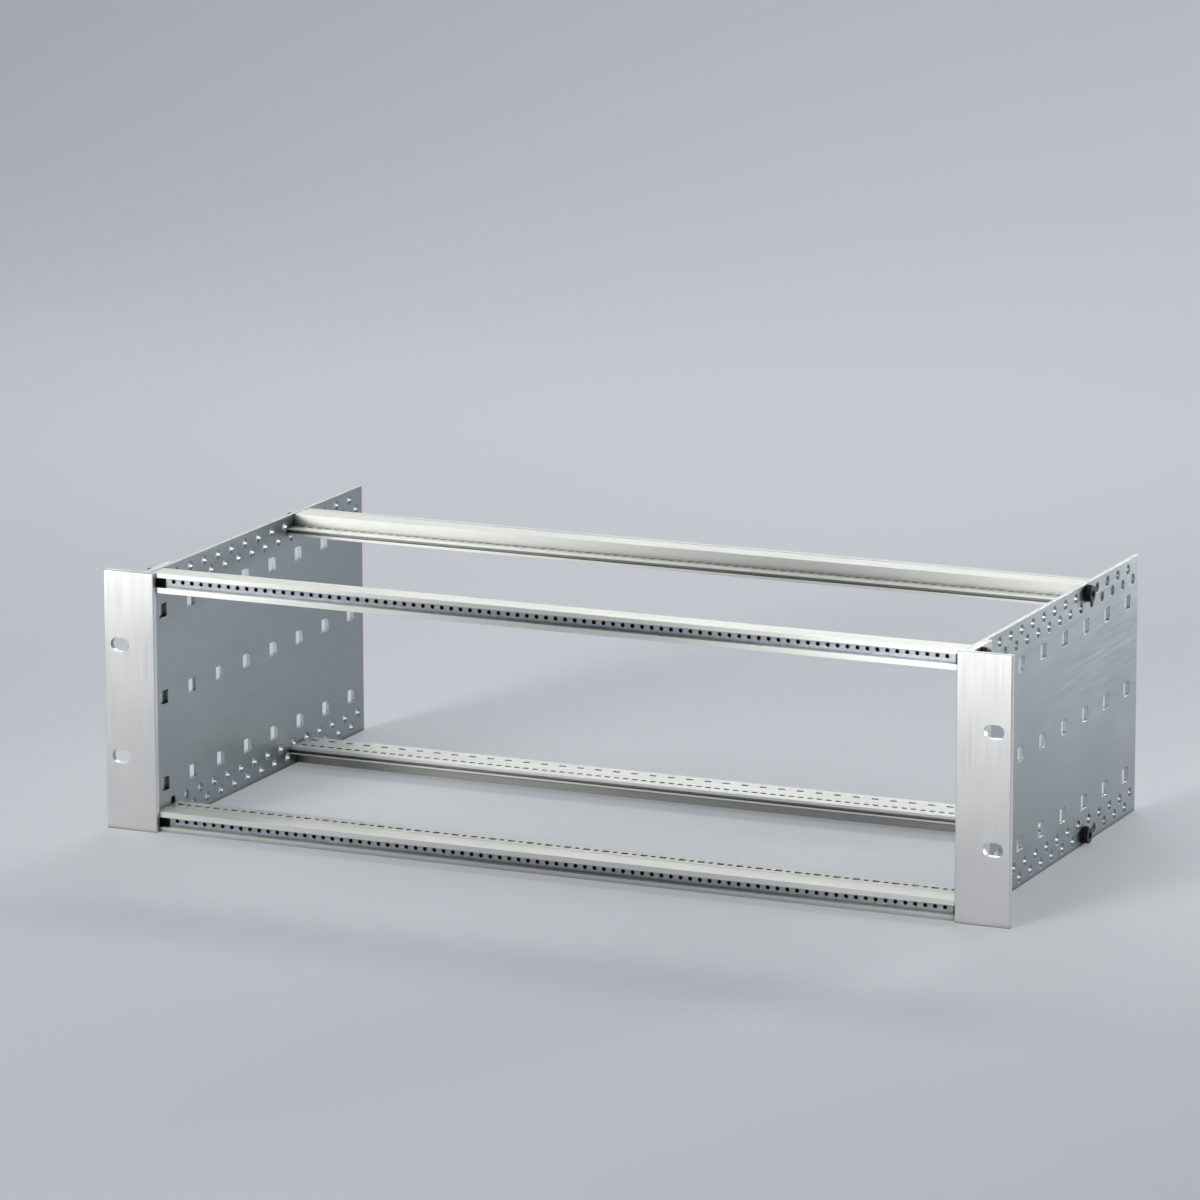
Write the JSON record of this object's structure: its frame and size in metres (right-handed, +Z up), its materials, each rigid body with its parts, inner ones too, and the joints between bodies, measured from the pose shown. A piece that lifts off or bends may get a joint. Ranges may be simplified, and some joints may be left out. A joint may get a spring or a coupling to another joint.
{
  "type": "subrack card cage",
  "caption": "Open card cage for a 19-inch equipment rack: perforated side plates joined by slotted extruded rails, with flanges for the rack's bolts.",
  "frame": {"origin": "middle of the footprint, on the surface that the cage stands on", "axes": "+X across the rack to the right as seen from the front, +Y from the front to the back, +Z up"},
  "size_m": [0.4826, 0.24, 0.1325],
  "materials": {
    "side_plate": "plain matt sheet",
    "mounting_flange": "satin brushed and clear anodised",
    "rail": "satin extruded, clear anodised",
    "threaded_strip": "bright zinc plated",
    "screw": "black oxide"
  },
  "bodies": {
    "root": {"side_plate_left": "side_plate", "side_plate_right": "side_plate", "mounting_flange_left": "mounting_flange", "mounting_flange_right": "mounting_flange", "front_rail_top": "rail", "front_rail_bottom": "rail", "rear_rail_top": "rail", "rear_rail_bottom": "rail", "front_strip_top": "threaded_strip", "front_strip_bottom": "threaded_strip", "rear_strip_top": "threaded_strip", "rear_strip_bottom": "threaded_strip", "front_bottom_screw_left": "screw", "front_bottom_screw_right": "screw", "front_top_screw_left": "screw", "front_top_screw_right": "screw", "rear_bottom_screw_left": "screw", "rear_bottom_screw_right": "screw", "rear_top_screw_left": "screw", "rear_top_screw_right": "screw"}
  },
  "joints": []
}
